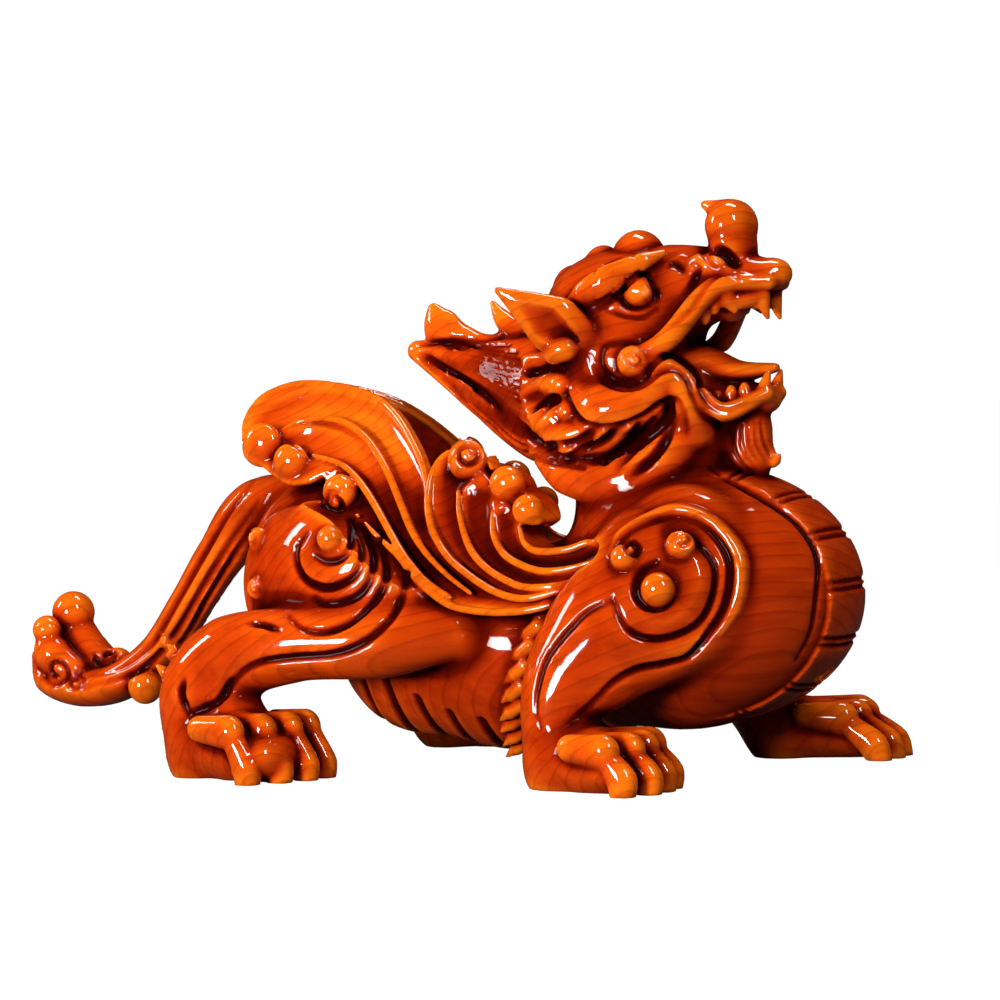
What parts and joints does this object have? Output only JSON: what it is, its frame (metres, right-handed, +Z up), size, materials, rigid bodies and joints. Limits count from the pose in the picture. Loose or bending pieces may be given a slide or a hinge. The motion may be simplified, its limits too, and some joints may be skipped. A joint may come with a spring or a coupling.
{
  "type": "wooden pixiu statue",
  "caption": "Carved and lacquered hardwood pixiu, crouching with raised roaring head, laid-back horn, curled wings on its flanks and a sweeping tail.",
  "frame": {"origin": "on the ground under the middle of the figure", "axes": "+X from the tail to the head, +Z up, -Y the figure's right side"},
  "size_m": [0.3992, 0.192, 0.2313],
  "materials": {
    "rosewood": "clear gloss lacquer over orange-brown grain"
  },
  "bodies": {
    "root": {"pixiu": "rosewood"}
  },
  "joints": []
}
